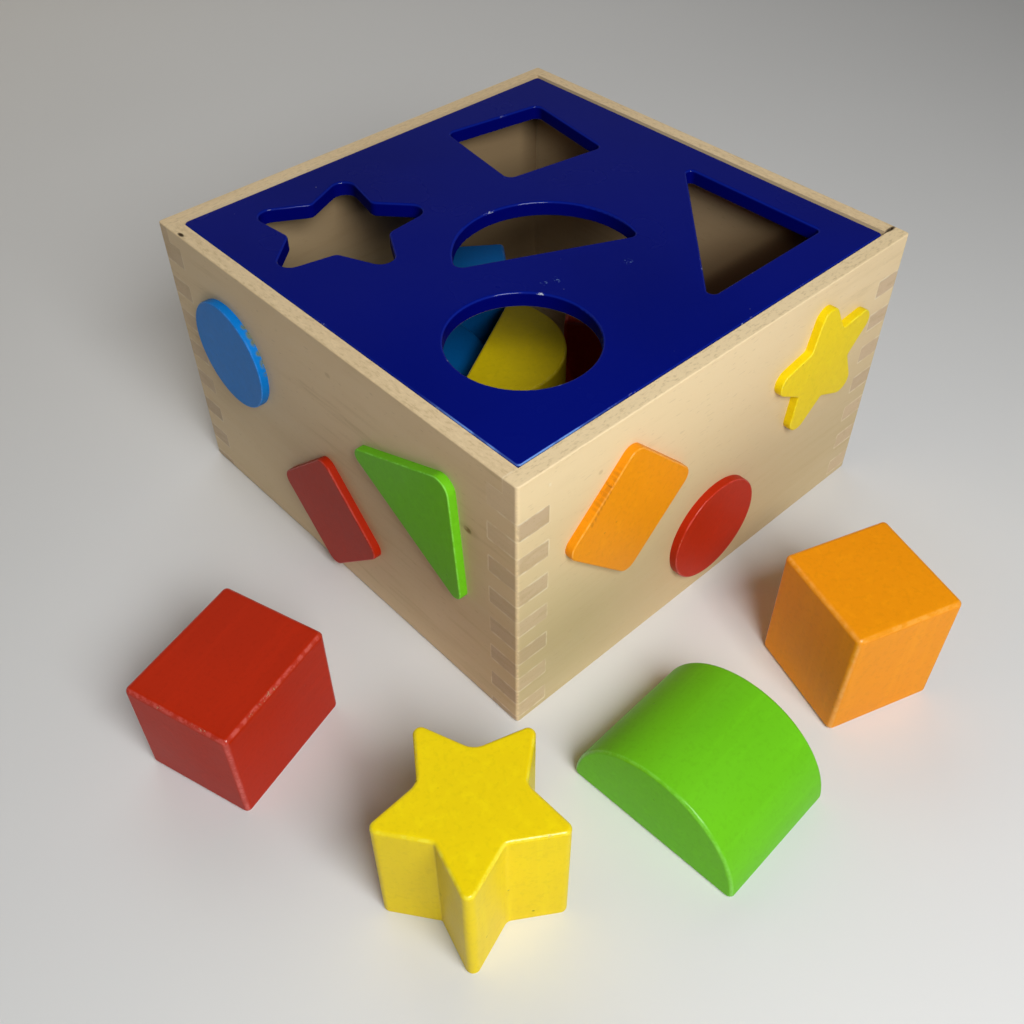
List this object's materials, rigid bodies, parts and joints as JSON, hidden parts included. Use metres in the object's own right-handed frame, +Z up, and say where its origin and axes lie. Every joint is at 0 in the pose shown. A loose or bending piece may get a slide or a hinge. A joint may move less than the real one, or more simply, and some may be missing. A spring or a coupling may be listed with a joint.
{
  "type": "shape sorter",
  "caption": "Square finger-jointed wooden box with a lift-out lid cut with shaped holes, flat painted shapes glued to its walls, and matching solid wooden blocks.",
  "frame": {"origin": "centre of the box's footprint, on the surface it stands on", "axes": "+Z up, the front wall faces -Y and the right wall faces +X"},
  "size_m": [0.2684, 0.2764, 0.1067],
  "materials": {
    "bare_wood": "sanded pale wood with a thin clear coat",
    "plywood": "sanded birch plywood",
    "lid_paint": "glossy deep blue paint on plywood",
    "red_paint": "satin red paint",
    "orange_paint": "satin orange paint",
    "yellow_paint": "satin yellow paint",
    "green_paint": "satin green paint",
    "blue_paint": "satin blue paint"
  },
  "bodies": {
    "box": {"front_wall": "bare_wood", "back_wall": "bare_wood", "left_wall": "bare_wood", "right_wall": "bare_wood", "bottom_panel": "plywood", "front_blue_disc": "blue_paint", "front_red_square": "red_paint", "front_green_triangle": "green_paint", "back_blue_disc": "blue_paint", "back_red_square": "red_paint", "back_green_triangle": "green_paint", "right_orange_square": "orange_paint", "right_red_disc": "red_paint", "right_yellow_star": "yellow_paint", "left_orange_square": "orange_paint", "left_red_disc": "red_paint", "left_yellow_star": "yellow_paint"},
    "lid": {"lid": "lid_paint"},
    "red_square_block": {"red_square_block": "red_paint"},
    "orange_square_block": {"orange_square_block": "orange_paint"},
    "yellow_star_block": {"yellow_star_block": "yellow_paint"},
    "green_half_round_block": {"green_half_round_block": "green_paint"},
    "posted_yellow_half_round": {"posted_yellow_half_round": "yellow_paint"},
    "posted_blue_square": {"posted_blue_square": "blue_paint"},
    "posted_blue_round": {"posted_blue_round": "blue_paint"},
    "posted_red_square": {"posted_red_square": "red_paint"}
  },
  "joints": [
    {"name": "lid_lift", "type": "slide", "parent": "box", "child": "lid", "axis": [0, 0, 1], "range_m": [0, 0.12]},
    {"name": "red_square_block_lift", "type": "slide", "parent": "box", "child": "red_square_block", "axis": [0, 0, 1], "range_m": [0, 0.08]},
    {"name": "orange_square_block_lift", "type": "slide", "parent": "box", "child": "orange_square_block", "axis": [0, 0, 1], "range_m": [0, 0.08]},
    {"name": "yellow_star_block_lift", "type": "slide", "parent": "box", "child": "yellow_star_block", "axis": [0, 0, 1], "range_m": [0, 0.08]},
    {"name": "green_half_round_block_lift", "type": "slide", "parent": "box", "child": "green_half_round_block", "axis": [0, 0, 1], "range_m": [0, 0.08]},
    {"name": "posted_yellow_half_round_lift", "type": "slide", "parent": "box", "child": "posted_yellow_half_round", "axis": [0, 0, 1], "range_m": [0, 0.035]},
    {"name": "posted_blue_square_lift", "type": "slide", "parent": "box", "child": "posted_blue_square", "axis": [0, 0, 1], "range_m": [0, 0.035]},
    {"name": "posted_blue_round_lift", "type": "slide", "parent": "box", "child": "posted_blue_round", "axis": [0, 0, 1], "range_m": [0, 0.035]},
    {"name": "posted_red_square_lift", "type": "slide", "parent": "box", "child": "posted_red_square", "axis": [0, 0, 1], "range_m": [0, 0.035]}
  ]
}
